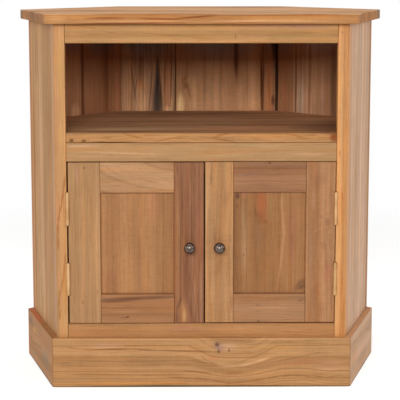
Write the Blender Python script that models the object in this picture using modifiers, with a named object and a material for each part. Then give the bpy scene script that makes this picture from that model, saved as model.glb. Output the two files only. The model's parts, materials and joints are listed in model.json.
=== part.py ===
# Small teak corner cabinet: an open shelf above a cupboard with two framed doors on brass butt hinges.
# Lengths are metres. X runs to the right, Y from the front into the corner of the room, Z up.
# The origin is on the floor, under the middle of the whole cabinet with its knobs.
import math

import bmesh
import bpy
from mathutils import Vector

# Carcass
carcass_width = 0.576
side_flare = 0.059
back_width = 0.290
side_depth = 0.194
total_height = 0.591
side_thickness = 0.015
wall_thickness = 0.014
joint_gap = 0.0003
arris = 0.0008
overrun = 0.010

# Top board, shelf and cupboard floor
top_thickness = 0.015
top_overhang = 0.015
shelf_thickness = 0.015
shelf_top = 0.406
shelf_setback = 0.0004
floor_thickness = 0.015
floor_top = 0.1012
batten_width = 0.018
batten_height = 0.020

# Front frame
frame_thickness = 0.019
frame_stile_width = 0.0175
top_rail_height = 0.030
middle_rail_height = 0.0295
bottom_rail_height = 0.070
frame_tenon_length = 0.010
frame_tenon_thickness = 0.007
frame_tenon_shoulder = 0.005

# Plinth
plinth_height = 0.0795
plinth_thickness = 0.010

# Seams between the boards of the walls and the back, as shares of each outer face
left_wall_seam_share = 0.505
right_wall_seam_share = 0.796
back_seam_shares = (0.117, 0.645)
wide_crack = 0.0012

# Doors
door_thickness = 0.0185
door_setback = 0.0004
door_end_clearance = 0.0012
meeting_line_offset = 0.0046
meeting_gap = 0.0020
left_hinge_gap = 0.0022
right_hinge_gap = 0.0012
door_hang_offset = 0.0003
left_hinge_stile_width = 0.050
left_lock_stile_width = 0.0465
right_hinge_stile_width = 0.046
right_lock_stile_width = 0.0445
door_top_rail_height = 0.048
door_bottom_rail_height = 0.046
panel_thickness = 0.008
panel_recess = 0.0045
groove_depth = 0.006
panel_float = 0.0008
door_tenon_length = 0.020
door_tenon_shoulder = 0.010

# Butt hinges
hinge_height = 0.0508
hinge_leaf_width = 0.0165
hinge_leaf_thickness = 0.0015
hinge_leaf_spacing = 0.0004
knuckle_radius = 0.003
knuckle_count = 5
hinge_pin_radius = 0.0015
hinge_pin_head_radius = 0.0024
hinge_pin_head_height = 0.0009
hinge_axis_reach = 0.0015

# Knobs and their bolts
knob_drop = 0.005
knob_setback = 0.0224
knob_ball_radius = 0.009
knob_reach = 0.0245
knob_rose_radius = 0.0075
knob_rose_height = 0.0025
knob_neck_radius = 0.0045
knob_hole_depth = 0.012
bolt_radius = 0.002
bolt_head_radius = 0.0045
bolt_head_height = 0.0025

# Door stop and catches
stop_width = 0.074
stop_depth = 0.018
stop_drop = 0.020
magnet_width = 0.020
magnet_height = 0.010
magnet_depth = 0.005
strike_width = 0.024
strike_height = 0.012
strike_thickness = 0.0012

knob_sides = 32
knuckle_sides = 24
pin_sides = 16
knob_arc_points = 12
bevel_angle = math.radians(20)
crease_angle = math.radians(35)

# Places that follow from the sizes
carcass_half = carcass_width / 2
front_half = carcass_half - side_flare
back_half = back_width / 2
opening_half = front_half - frame_stile_width
carcass_depth = side_depth + carcass_half - back_half
knob_tip_reach = knob_reach + joint_gap - door_setback
front = (knob_tip_reach - carcass_depth) / 2
frame_back = front + frame_thickness

top_underside = total_height - top_thickness
shelf_underside = shelf_top - shelf_thickness
floor_underside = floor_top - floor_thickness
top_rail_bottom = top_underside - joint_gap - top_rail_height
middle_rail_top = shelf_underside - joint_gap
middle_rail_bottom = middle_rail_top - middle_rail_height
bottom_rail_bottom = floor_top - bottom_rail_height

door_front = front + door_setback
door_back = door_front + door_thickness
door_bottom = floor_top + door_end_clearance
door_top = middle_rail_bottom - door_end_clearance
hinge_axis_y = front - hinge_axis_reach
upper_hinge_level = door_top - door_top_rail_height - hinge_height / 2
lower_hinge_level = door_bottom + door_bottom_rail_height + hinge_height / 2
knob_level = (door_bottom + door_top) / 2 - knob_drop

front_left = Vector((-front_half, front))
front_right = Vector((front_half, front))
side_right = Vector((carcass_half, front + side_depth))
back_right = Vector((back_half, front + carcass_depth))
back_left = Vector((-back_half, front + carcass_depth))


def collection_named(name):
    found = bpy.data.collections.new(name)
    bpy.context.scene.collection.children.link(found)
    return found


def clear_scene():
    for obj in list(bpy.data.objects):
        bpy.data.objects.remove(obj, do_unlink=True)


def finish(name, colour, roughness, metallic=0.0):
    material = bpy.data.materials.new(name)
    material.use_nodes = True
    shader = material.node_tree.nodes["Principled BSDF"]
    shader.inputs["Base Color"].default_value = (*colour, 1.0)
    shader.inputs["Roughness"].default_value = roughness
    shader.inputs["Metallic"].default_value = metallic
    return material


clear_scene()
cabinet = collection_named("corner_cabinet")
cutters = collection_named("cutters")

honey_teak = finish("honey_teak", (0.56, 0.30, 0.12), 0.55)
orange_teak = finish("orange_teak", (0.58, 0.27, 0.09), 0.50)
pale_teak = finish("pale_teak", (0.54, 0.38, 0.24), 0.65)
brown_teak = finish("brown_teak", (0.30, 0.17, 0.09), 0.55)
inner_teak = finish("inner_teak", (0.27, 0.15, 0.08), 0.70)
brass = finish("brass", (0.72, 0.52, 0.22), 0.35, 1.0)
bronze = finish("bronze", (0.16, 0.12, 0.09), 0.38, 1.0)
steel = finish("steel", (0.55, 0.55, 0.56), 0.40, 1.0)
magnet_grey = finish("magnet_grey", (0.16, 0.16, 0.17), 0.50, 0.6)


def put_in(obj, collection):
    for old in list(obj.users_collection):
        old.objects.unlink(obj)
    collection.objects.link(obj)


def as_part(obj, name, material):
    obj.name = name
    obj.data.name = name
    obj.data.materials.clear()
    obj.data.materials.append(material)
    put_in(obj, cabinet)
    return obj


def as_helper(obj, name):
    obj.name = name
    obj.hide_render = True
    obj.display_type = "WIRE"
    put_in(obj, cutters)
    return obj


def shade_round(mesh):
    mesh.shade_smooth()
    mesh.set_sharp_from_angle(angle=crease_angle)


def block(low, high):
    low, high = Vector(low), Vector(high)
    bpy.ops.mesh.primitive_cube_add(size=1, location=(low + high) / 2, scale=high - low)
    bpy.ops.object.transform_apply(location=False, rotation=False, scale=True)
    return bpy.context.object


def rod(radius, start, end, sides=knuckle_sides):
    start, end = Vector(start), Vector(end)
    bpy.ops.mesh.primitive_cylinder_add(
        vertices=sides,
        radius=radius,
        depth=(end - start).length,
        location=(start + end) / 2,
        rotation=(end - start).to_track_quat("Z", "Y").to_euler(),
    )
    obj = bpy.context.object
    shade_round(obj.data)
    return obj


def mesh_from_curve(curve_object):
    """A welded mesh object that takes the place of a filled curve."""
    bpy.context.view_layer.update()
    graph = bpy.context.evaluated_depsgraph_get()
    mesh = bpy.data.meshes.new_from_object(curve_object.evaluated_get(graph))
    shape = bmesh.new()
    shape.from_mesh(mesh)
    bmesh.ops.remove_doubles(shape, verts=shape.verts, dist=joint_gap / 10)
    bmesh.ops.recalc_face_normals(shape, faces=shape.faces)
    shape.to_mesh(mesh)
    shape.free()
    obj = bpy.data.objects.new(curve_object.name, mesh)
    obj.matrix_world = curve_object.matrix_world
    bpy.context.scene.collection.objects.link(obj)
    bpy.data.objects.remove(curve_object, do_unlink=True)
    return obj


def prism(outline, low, high):
    """A board whose plan is the outline, from one height to another."""
    curve = bpy.data.curves.new("outline", "CURVE")
    curve.dimensions = "2D"
    curve.fill_mode = "BOTH"
    curve.extrude = (high - low) / 2
    spline = curve.splines.new("POLY")
    spline.points.add(len(outline) - 1)
    for point, corner in zip(spline.points, outline):
        point.co = (corner.x, corner.y, 0, 1)
    spline.use_cyclic_u = True
    obj = bpy.data.objects.new("outline", curve)
    obj.location.z = (low + high) / 2
    bpy.context.scene.collection.objects.link(obj)
    return mesh_from_curve(obj)


def ease_edges(obj):
    bevel = obj.modifiers.new("eased edges", "BEVEL")
    bevel.width = arris
    bevel.segments = 2
    bevel.limit_method = "ANGLE"
    bevel.angle_limit = bevel_angle
    return obj


def cut(obj, cutter, name):
    boolean = obj.modifiers.new(name, "BOOLEAN")
    boolean.operation = "DIFFERENCE"
    boolean.object = as_helper(cutter, obj.name + "_" + name)


def fuse(obj, addition, name):
    boolean = obj.modifiers.new(name, "BOOLEAN")
    boolean.operation = "UNION"
    boolean.object = as_helper(addition, obj.name + "_" + name)


# Plan lines: each is a point and a direction, with the inside of the cabinet on its left
def plan_line(start, end, inset=0.0):
    along = (end - start).normalized()
    inward = Vector((-along.y, along.x))
    return start + inward * inset, along


def front_line(inset=0.0):
    return plan_line(front_left, front_right, inset)


def side_line(inset=0.0):
    return plan_line(front_right, side_right, inset)


def wall_line(inset=0.0):
    return plan_line(side_right, back_right, inset)


def back_line(inset=0.0):
    return plan_line(back_right, back_left, inset)


def crosswise(x):
    return Vector((x, front)), Vector((0, 1))


def crossing(first, second):
    (start, along), (other_start, other_along) = first, second
    reach = (other_start - start).cross(other_along) / along.cross(other_along)
    return start + along * reach


def corners(lines):
    return [crossing(a, b) for a, b in zip(lines, lines[1:] + lines[:1])]


def mirrored(outline):
    return [Vector((-corner.x, corner.y)) for corner in reversed(outline)]


def whole(half_lines):
    """A symmetric outline: its right half's lines run from the front to the back."""
    right = [crossing(a, b) for a, b in zip(half_lines, half_lines[1:])]
    return right + mirrored(right)


def board(name, outline, low, high, material):
    return ease_edges(as_part(prism(outline, low, high), name, material))


def pair_of_boards(name, outline, low, high, material):
    board("left_" + name, mirrored(outline), low, high, material)
    board("right_" + name, outline, low, high, material)


def make_top_board():
    outline = whole([front_line(-top_overhang), side_line(-top_overhang), wall_line(), back_line()])
    board("top_board", outline, top_underside, total_height, orange_teak)


def frame_rail(name, low, high, material):
    """A rail of the front frame, with a tenon on each end."""
    reach = opening_half - joint_gap
    rail = as_part(block((-reach, front, low), (reach, frame_back, high)), name, material)
    ease_edges(rail)
    middle = (front + frame_back) / 2
    half = frame_tenon_thickness / 2
    tenon_reach = opening_half + frame_tenon_length
    tenons = block(
        (-tenon_reach, middle - half, low + frame_tenon_shoulder),
        (tenon_reach, middle + half, high - frame_tenon_shoulder),
    )
    fuse(rail, tenons, "tenons")


def cut_frame_mortise(stile, side, low, high, name):
    middle = (front + frame_back) / 2
    half = frame_tenon_thickness / 2 + joint_gap
    inner = opening_half - overrun
    outer = opening_half + frame_tenon_length + joint_gap
    ends = sorted((side * inner, side * outer))
    shoulder = frame_tenon_shoulder - joint_gap
    mortise = block(
        (ends[0], middle - half, low + shoulder),
        (ends[1], middle + half, high - shoulder),
    )
    cut(stile, mortise, name)


def make_front_frame():
    rails = {
        "top_rail": (top_rail_bottom, top_underside - joint_gap, honey_teak),
        "middle_rail": (middle_rail_bottom, middle_rail_top, honey_teak),
        "bottom_rail": (bottom_rail_bottom, floor_top, orange_teak),
    }
    for name, (low, high, material) in rails.items():
        frame_rail(name, low, high, material)
    outline = corners([front_line(), side_line(), front_line(frame_thickness), crosswise(opening_half)])
    stiles = {}
    for side, name, plan in ((-1, "left", mirrored(outline)), (1, "right", outline)):
        stile = board(name + "_stile", plan, 0, top_underside - joint_gap, honey_teak)
        for rail, (low, high, _) in rails.items():
            cut_frame_mortise(stile, side, low, high, rail + "_mortise")
        stiles[side] = stile
    return stiles


def make_sides():
    outline = corners(
        [
            front_line(frame_thickness + joint_gap),
            side_line(),
            wall_line(wall_thickness + joint_gap),
            side_line(side_thickness),
        ]
    )
    pair_of_boards("side_panel", outline, 0, top_underside - joint_gap, pale_teak)


def seam_across(start, end, share):
    """The two edges of a seam square to a wall, at a share of the way along its outer face."""
    along = (end - start).normalized()
    inward = Vector((-along.y, along.x))
    middle = start.lerp(end, share)
    return (middle - along * joint_gap / 2, inward), (middle + along * joint_gap / 2, inward)


def corner_mitre(gap):
    """The wall edge and the back edge of the joint between a wall and the back."""
    inner = crossing(wall_line(wall_thickness), back_line(wall_thickness))
    return plan_line(back_right, inner, gap / 2), plan_line(back_right, inner, -gap / 2)


def make_walls():
    high = top_underside - joint_gap
    sides = (
        (1, "right", right_wall_seam_share, wide_crack),
        (-1, "left", left_wall_seam_share, joint_gap),
    )
    for side, name, share, crack in sides:
        near_edge, far_edge = seam_across(side_right, back_right, share)
        wall_edge, _ = corner_mitre(crack)
        front_board = corners([wall_line(), near_edge, wall_line(wall_thickness), side_line()])
        rear_board = corners([wall_line(), wall_edge, wall_line(wall_thickness), far_edge])
        for place, outline in (("front", front_board), ("rear", rear_board)):
            plan = outline if side > 0 else mirrored(outline)
            board(f"{name}_wall_{place}_board", plan, 0, high, inner_teak)


def make_back():
    high = top_underside - joint_gap
    right_edges, left_edges = (seam_across(back_right, back_left, share) for share in back_seam_shares)
    _, right_end = corner_mitre(wide_crack)
    _, end = corner_mitre(joint_gap)
    left_end = tuple(Vector((-part.x, part.y)) for part in end)
    spans = {
        "back_right_board": (right_end, right_edges[0]),
        "back_middle_board": (right_edges[1], left_edges[0]),
        "back_left_board": (left_edges[1], left_end),
    }
    for name, (start, end) in spans.items():
        outline = corners([start, back_line(), end, back_line(wall_thickness)])
        board(name, outline, 0, high, inner_teak)


def make_shelf():
    wall_inset = wall_thickness + joint_gap
    outline = whole(
        [
            front_line(shelf_setback),
            crosswise(opening_half - joint_gap),
            front_line(frame_thickness + joint_gap),
            side_line(side_thickness + joint_gap),
            wall_line(wall_inset),
            back_line(wall_inset),
        ]
    )
    board("shelf", outline, shelf_underside, shelf_top, honey_teak)


def make_floor():
    wall_inset = wall_thickness + joint_gap
    outline = whole(
        [
            front_line(frame_thickness + joint_gap),
            side_line(side_thickness + joint_gap),
            wall_line(wall_inset),
            back_line(wall_inset),
        ]
    )
    board("cupboard_floor", outline, floor_underside, floor_top, inner_teak)


def make_battens():
    near = wall_thickness + joint_gap
    far = near + batten_width
    wall_batten = corners(
        [side_line(side_thickness + joint_gap), wall_line(near), back_line(far + joint_gap), wall_line(far)]
    )
    back_batten = whole([back_line(far), wall_line(near), back_line(near)])
    for name, underside in (("shelf", shelf_underside), ("floor", floor_underside)):
        high = underside - joint_gap
        low = high - batten_height
        board(f"{name}_back_batten", back_batten, low, high, brown_teak)
        board(f"{name}_left_batten", mirrored(wall_batten), low, high, brown_teak)
        board(f"{name}_right_batten", wall_batten, low, high, brown_teak)


def make_plinth():
    outer = -plinth_thickness - joint_gap
    inner_corner = crossing(front_line(-joint_gap), side_line(-joint_gap))
    outer_corner = crossing(front_line(outer), side_line(outer))
    front_mitre = plan_line(outer_corner, inner_corner, joint_gap / 2)
    side_mitre = plan_line(outer_corner, inner_corner, -joint_gap / 2)
    front_board = whole([front_line(outer), front_mitre, front_line(-joint_gap)])
    side_board = corners([side_line(outer), wall_line(), side_line(-joint_gap), side_mitre])
    board("plinth_front", front_board, 0, plinth_height, orange_teak)
    board("plinth_left", mirrored(side_board), 0, plinth_height, pale_teak)
    board("plinth_right", side_board, 0, plinth_height, pale_teak)


def make_door_stop():
    low = middle_rail_bottom - stop_drop
    stop_front = frame_back + joint_gap
    left = meeting_line_offset - stop_width / 2
    stop = as_part(
        block(
            (left, stop_front, low),
            (left + stop_width, stop_front + stop_depth, shelf_underside - joint_gap),
        ),
        "door_stop_block",
        brown_teak,
    )
    ease_edges(stop)
    for side, name in ((-1, "left"), (1, "right")):
        x, z = catch_place(side)
        half_width, half_height = magnet_width / 2, magnet_height / 2
        magnet = block(
            (x - half_width, stop_front, z - half_height),
            (x + half_width, stop_front + magnet_depth, z + half_height),
        )
        as_part(magnet, name + "_catch_magnet", magnet_grey)
        half_width += joint_gap
        half_height += joint_gap
        pocket = block(
            (x - half_width, stop_front - overrun, z - half_height),
            (x + half_width, stop_front + magnet_depth + joint_gap, z + half_height),
        )
        cut(stop, pocket, name + "_pocket")


def catch_place(side):
    """Where a magnet meets its strike plate: X and Z, for the left door (-1) or the right one (1)."""
    x = meeting_line_offset + side * (meeting_gap + stop_width / 2) / 2
    return x, middle_rail_bottom - stop_drop / 2


class Door:
    """Places along a door, measured from its hinge edge (0) to its meeting edge (width)."""

    def __init__(self, name, toward_meeting, hinge_gap, hang, stile_widths):
        self.name = name
        self.toward = toward_meeting
        self.hinge_stile_width, self.lock_stile_width = stile_widths
        self.hinge_edge = -toward_meeting * (opening_half - hinge_gap)
        self.meeting_edge = meeting_line_offset - toward_meeting * meeting_gap / 2
        self.width = abs(self.meeting_edge - self.hinge_edge)
        self.axis_x = -toward_meeting * (opening_half - hinge_gap / 2)
        self.bottom = door_bottom + hang
        self.top = door_top + hang
        self.axis = bpy.data.objects.new(name + "_axis", None)
        self.axis.location = (self.axis_x, hinge_axis_y, 0)
        cabinet.objects.link(self.axis)

    def x(self, distance):
        return self.hinge_edge + self.toward * distance

    def block(self, distances, depths, levels):
        ends = sorted(self.x(distance) for distance in distances)
        return block((ends[0], depths[0], levels[0]), (ends[1], depths[1], levels[1]))

    def own(self, obj, name, material):
        """Names a piece of this door and hangs it on the hinge axis."""
        as_part(obj, f"{self.name}_{name}", material)
        obj.location = obj.location - self.axis.location
        obj.parent = self.axis
        return obj


def make_door(door, frame_material, panel_material):
    depths = (door_front, door_back)
    tongue = (door_front + panel_recess, door_front + panel_recess + panel_thickness)
    slot = (tongue[0] - joint_gap, tongue[1] + joint_gap)
    rail_levels = {
        "top_rail": (door.top - door_top_rail_height, door.top),
        "bottom_rail": (door.bottom, door.bottom + door_bottom_rail_height),
    }
    tenon_levels = {
        "top_rail": (rail_levels["top_rail"][0] + groove_depth + joint_gap, door.top - door_tenon_shoulder),
        "bottom_rail": (
            door.bottom + door_tenon_shoulder,
            rail_levels["bottom_rail"][1] - groove_depth - joint_gap,
        ),
    }
    inner_start = door.hinge_stile_width
    inner_end = door.width - door.lock_stile_width

    stiles = {}
    stile_spans = {"hinge_stile": (0, inner_start, -1), "lock_stile": (inner_end, door.width, 1)}
    for name, (start, end, outward) in stile_spans.items():
        stile = door.own(door.block((start, end), depths, (door.bottom, door.top)), name, frame_material)
        ease_edges(stile)
        edge = end if outward < 0 else start
        groove_levels = (
            tenon_levels["bottom_rail"][0] - joint_gap,
            tenon_levels["top_rail"][1] + joint_gap,
        )
        groove = door.block((edge - outward * overrun, edge + outward * groove_depth), slot, groove_levels)
        cut(stile, groove, "groove")
        for rail, levels in tenon_levels.items():
            mortise = door.block(
                (edge - outward * overrun, edge + outward * (door_tenon_length + joint_gap)),
                slot,
                (levels[0] - joint_gap, levels[1] + joint_gap),
            )
            cut(stile, mortise, rail + "_mortise")
        stiles[name] = stile

    for name, levels in rail_levels.items():
        span = (inner_start + joint_gap, inner_end - joint_gap)
        rail = door.own(door.block(span, depths, levels), name, frame_material)
        ease_edges(rail)
        tenon_span = (inner_start - door_tenon_length, inner_end + door_tenon_length)
        fuse(rail, door.block(tenon_span, tongue, tenon_levels[name]), "tenons")
        if name == "top_rail":
            groove_levels = (levels[0] - overrun, levels[0] + groove_depth)
        else:
            groove_levels = (levels[1] - groove_depth, levels[1] + overrun)
        groove_span = (inner_start - overrun, inner_end + overrun)
        cut(rail, door.block(groove_span, slot, groove_levels), "groove")

    grip = groove_depth - panel_float
    panel = door.block(
        (inner_start - grip, inner_end + grip),
        tongue,
        (rail_levels["bottom_rail"][1] - grip, rail_levels["top_rail"][0] + grip),
    )
    door.own(panel, "panel", panel_material)
    return stiles


def knob_profile():
    """Radius and height of the knob from its tip down to its foot."""
    centre = knob_reach - knob_ball_radius
    lowest = -math.acos(knob_neck_radius / knob_ball_radius)
    turn = (lowest - math.pi / 2) / knob_arc_points
    angles = [math.pi / 2 + turn * step for step in range(knob_arc_points + 1)]
    ball = [(knob_ball_radius * math.cos(a), centre + knob_ball_radius * math.sin(a)) for a in angles]
    ball[0] = (0, knob_reach)
    neck_foot = (knob_neck_radius, knob_rose_height + joint_gap)
    rose = [
        (knob_rose_radius - knob_rose_height / 2, knob_rose_height),
        (knob_rose_radius, knob_rose_height / 2),
        (knob_rose_radius, 0),
        (0, 0),
    ]
    return ball + [neck_foot] + rose


def turned(profile, sides):
    """A solid of revolution about its own Z axis, from points that run down its outer side."""
    mesh = bpy.data.meshes.new("profile")
    points = [(radius, 0, height) for radius, height in profile]
    mesh.from_pydata(points, [(i, i + 1) for i in range(len(points) - 1)], [])
    obj = bpy.data.objects.new("profile", mesh)
    bpy.context.scene.collection.objects.link(obj)
    screw = obj.modifiers.new("turning", "SCREW")
    screw.steps = sides
    screw.render_steps = sides
    screw.use_merge_vertices = True
    screw.merge_threshold = joint_gap / 10
    screw.use_smooth_shade = True
    return obj


def make_knob(door, lock_stile):
    x = door.x(door.width - knob_setback)
    foot = door_front - joint_gap
    knob = turned(knob_profile(), knob_sides)
    knob.rotation_euler.x = math.pi / 2
    knob.location = (x, foot, knob_level)
    door.own(knob, "knob", bronze)
    hole_radius = bolt_radius + joint_gap
    hole = rod(hole_radius, (x, foot - knob_hole_depth, knob_level), (x, foot + overrun, knob_level))
    cut(knob, hole, "hole")
    back = door_back + joint_gap
    tip = foot - knob_hole_depth + joint_gap
    bolt = rod(bolt_radius, (x, back + bolt_head_height / 2, knob_level), (x, tip, knob_level))
    door.own(bolt, "knob_bolt", steel)
    head = rod(bolt_head_radius, (x, back, knob_level), (x, back + bolt_head_height, knob_level))
    fuse(bolt, head, "head")
    way = rod(hole_radius, (x, foot - overrun, knob_level), (x, door_back + overrun, knob_level))
    cut(lock_stile, way, "bolt_hole")


def make_strike(door, lock_stile):
    x, z = catch_place(-door.toward)
    half_width, half_height = strike_width / 2, strike_height / 2
    plate = block(
        (x - half_width, door_back - strike_thickness, z - half_height),
        (x + half_width, door_back, z + half_height),
    )
    door.own(plate, "strike_plate", steel)
    half_width += joint_gap
    half_height += joint_gap
    pocket = block(
        (x - half_width, door_back - strike_thickness - joint_gap, z - half_height),
        (x + half_width, door_back + overrun, z + half_height),
    )
    cut(lock_stile, pocket, "strike_pocket")


def knuckle_spans(level, wanted):
    """Heights of the knuckles with an even (0) or odd (1) place, counted from the lowest."""
    length = hinge_height / knuckle_count
    start = level - hinge_height / 2
    return [(start + i * length, start + (i + 1) * length) for i in range(knuckle_count) if i % 2 == wanted]


def hinge_leaf(axis_x, toward, level, own_knuckles):
    """One leaf with its knuckles; it lies on the side of the axis that toward names."""
    bottom, top = level - hinge_height / 2, level + hinge_height / 2
    near = axis_x + toward * hinge_leaf_spacing / 2
    far = near + toward * hinge_leaf_thickness
    ends = sorted((near, far))
    leaf = block((ends[0], hinge_axis_y, bottom), (ends[1], hinge_axis_y + hinge_leaf_width, top))
    leaf.name = "leaf"
    barrel = rod(knuckle_radius, (axis_x, hinge_axis_y, bottom), (axis_x, hinge_axis_y, top))
    fuse(leaf, barrel, "barrel")
    reach = knuckle_radius + overrun
    for number, (low, high) in enumerate(knuckle_spans(level, 1 - own_knuckles)):
        low_end = low - overrun if low <= bottom + joint_gap else low - joint_gap / 2
        high_end = high + overrun if high >= top - joint_gap else high + joint_gap / 2
        space = block(
            (axis_x - reach, hinge_axis_y - reach, low_end),
            (axis_x + reach, hinge_axis_y + knuckle_radius + joint_gap, high_end),
        )
        cut(leaf, space, f"knuckle_space_{number + 1}")
    bore = rod(
        hinge_pin_radius + joint_gap,
        (axis_x, hinge_axis_y, bottom - overrun),
        (axis_x, hinge_axis_y, top + overrun),
    )
    cut(leaf, bore, "bore")
    return leaf


def hinge_pin(axis_x, level):
    half = hinge_height / 2 + joint_gap
    end = half + hinge_pin_head_height
    crown = hinge_pin_head_height / 3
    pin = turned(
        [
            (0, end),
            (hinge_pin_head_radius - crown, end),
            (hinge_pin_head_radius, end - crown),
            (hinge_pin_head_radius, half),
            (hinge_pin_radius, half),
            (hinge_pin_radius, -half),
            (hinge_pin_head_radius, -half),
            (hinge_pin_head_radius, -end + crown),
            (hinge_pin_head_radius - crown, -end),
            (0, -end),
        ],
        pin_sides,
    )
    pin.location = (axis_x, hinge_axis_y, level)
    return pin


def cut_hinge_seat(wood, axis_x, toward, level, name):
    """The pocket for a leaf and the notch that clears the knuckles."""
    half = hinge_height / 2 + joint_gap
    far = axis_x + toward * (hinge_leaf_spacing / 2 + hinge_leaf_thickness + joint_gap)
    near = axis_x - toward * overrun / 2
    ends = sorted((near, far))
    pocket = block(
        (ends[0], front - overrun, level - half),
        (ends[1], hinge_axis_y + hinge_leaf_width + joint_gap, level + half),
    )
    cut(wood, pocket, name + "_pocket")
    reach = half + hinge_pin_head_height + joint_gap
    notch = rod(
        knuckle_radius + joint_gap,
        (axis_x, hinge_axis_y, level - reach),
        (axis_x, hinge_axis_y, level + reach),
    )
    cut(wood, notch, name + "_notch")


def make_hinges(door, frame_stile, hinge_stile):
    for name, level in (("upper", upper_hinge_level), ("lower", lower_hinge_level)):
        place = f"{door.name}_{name}_hinge"
        frame_leaf = hinge_leaf(door.axis_x, -door.toward, level, 0)
        as_part(frame_leaf, place + "_frame_leaf", brass)
        door_leaf = hinge_leaf(door.axis_x, door.toward, level, 1)
        door.own(door_leaf, name + "_hinge_door_leaf", brass)
        as_part(hinge_pin(door.axis_x, level), place + "_pin", brass)
        cut_hinge_seat(frame_stile, door.axis_x, -door.toward, level, place)
        cut_hinge_seat(hinge_stile, door.axis_x, door.toward, level, name + "_hinge")


def make_doors(frame_stiles):
    left_widths = (left_hinge_stile_width, left_lock_stile_width)
    right_widths = (right_hinge_stile_width, right_lock_stile_width)
    doors = (
        (Door("left_door", 1, left_hinge_gap, -door_hang_offset, left_widths), -1),
        (Door("right_door", -1, right_hinge_gap, door_hang_offset, right_widths), 1),
    )
    for door, side in doors:
        stiles = make_door(door, honey_teak, brown_teak)
        make_knob(door, stiles["lock_stile"])
        make_strike(door, stiles["lock_stile"])
        make_hinges(door, frame_stiles[side], stiles["hinge_stile"])


frame_stiles = make_front_frame()
make_top_board()
make_sides()
make_walls()
make_back()
make_shelf()
make_floor()
make_battens()
make_plinth()
make_door_stop()
make_doors(frame_stiles)
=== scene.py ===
import json
import math

import bmesh
import bpy
from mathutils import Matrix, Vector


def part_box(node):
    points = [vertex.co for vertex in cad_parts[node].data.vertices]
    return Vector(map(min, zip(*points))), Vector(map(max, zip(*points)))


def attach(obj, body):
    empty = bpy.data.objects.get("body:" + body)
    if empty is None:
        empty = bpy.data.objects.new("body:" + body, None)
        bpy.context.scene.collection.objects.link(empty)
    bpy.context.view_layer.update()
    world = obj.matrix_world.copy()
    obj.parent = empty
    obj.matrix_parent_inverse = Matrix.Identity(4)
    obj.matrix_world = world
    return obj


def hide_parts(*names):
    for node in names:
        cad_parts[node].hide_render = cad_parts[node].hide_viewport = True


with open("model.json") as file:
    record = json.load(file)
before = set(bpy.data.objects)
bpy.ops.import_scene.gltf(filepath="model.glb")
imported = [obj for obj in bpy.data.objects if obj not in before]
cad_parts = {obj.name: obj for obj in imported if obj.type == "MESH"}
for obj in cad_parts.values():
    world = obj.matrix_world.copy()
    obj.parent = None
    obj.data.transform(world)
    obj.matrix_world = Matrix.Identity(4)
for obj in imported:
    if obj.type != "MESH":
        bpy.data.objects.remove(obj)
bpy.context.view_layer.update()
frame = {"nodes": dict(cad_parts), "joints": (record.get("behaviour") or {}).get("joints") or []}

nodes = frame["nodes"]
mm = 0.001


def tone(red, green, blue):  # a colour as a screen shows it, 0 to 255
    def light(value):
        share = value / 255
        return share / 12.92 if share <= 0.04045 else ((share + 0.055) / 1.055) ** 2.4

    return (light(red), light(green), light(blue), 1.0)


class Wire:  # one socket of a shader, which takes part in sums
    def __init__(self, tree, socket):
        self.tree = tree
        self.socket = socket

    def add(self, kind, settings, values, out=0):
        node = self.tree.nodes.new("ShaderNode" + kind)
        for name, value in settings.items():
            if name == "stops":
                while len(node.color_ramp.elements) < len(value):
                    node.color_ramp.elements.new(1.0)
                for element, (place, colour) in zip(node.color_ramp.elements, value):
                    element.position = place
                    element.color = colour
            else:
                setattr(node, name, value)
        for name, value in values.items():
            if isinstance(value, Wire):
                self.tree.links.new(value.socket, node.inputs[name])
            else:
                node.inputs[name].default_value = value
        return Wire(self.tree, node.outputs[out])

    def carriesVector(self):
        return self.socket.type in ("VECTOR", "RGBA")

    def maths(self, operation, first, second):
        wires = [value for value in (first, second) if isinstance(value, Wire)]
        if any(wire.carriesVector() for wire in wires):
            first, second = (
                value if isinstance(value, (Wire, tuple)) else (value,) * 3 for value in (first, second)
            )
            return self.add("VectorMath", {"operation": operation}, {0: first, 1: second})
        return self.add("Math", {"operation": operation}, {0: first, 1: second})

    def __add__(self, other):
        return self.maths("ADD", self, other)

    def __radd__(self, other):
        return self.maths("ADD", other, self)

    def __sub__(self, other):
        return self.maths("SUBTRACT", self, other)

    def __rsub__(self, other):
        return self.maths("SUBTRACT", other, self)

    def __mul__(self, other):
        return self.maths("MULTIPLY", self, other)

    def __rmul__(self, other):
        return self.maths("MULTIPLY", other, self)


def newMaterial(name):
    material = bpy.data.materials.new(name)
    material.use_nodes = True
    tree = material.node_tree
    shader = tree.nodes["Principled BSDF"]
    place = tree.nodes.new("ShaderNodeTexCoord").outputs["Object"]
    return material, shader, Wire(tree, place)


def noise(where, detail, roughness, out="Fac"):
    values = {"Vector": where, "Scale": 1.0, "Detail": detail, "Roughness": roughness}
    return where.add("TexNoise", {}, values, out)


def ringNoise(ring, detail, roughness):
    values = {"W": ring, "Scale": 1.0, "Detail": detail, "Roughness": roughness}
    return ring.add("TexNoise", {"noise_dimensions": "1D"}, values)


def smoothStep(value, low, high, share=1.0):
    values = {"Value": value, "From Min": low, "From Max": high, "To Max": share}
    return value.add("MapRange", {"interpolation_type": "SMOOTHSTEP"}, values)


def tint(colour, ratio, mask):  # multiplies the colour by the ratio where the mask is 1
    settings = {"data_type": "RGBA", "blend_type": "MULTIPLY"}
    return colour.add("Mix", settings, {0: mask, 6: colour, 7: ratio}, 2)


def dress(shader, colour, roughness, height, bump, bumpHigh):
    bumps = height.add("Bump", {}, {"Height": height, "Strength": bump, "Distance": bumpHigh * mm})
    for name, wire in (("Base Color", colour), ("Roughness", roughness), ("Normal", bumps)):
        wire.tree.links.new(wire.socket, shader.inputs[name])


def put(name, material):
    slots = nodes[name].data.materials
    slots.clear()
    slots.append(material)


print("camera")

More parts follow.
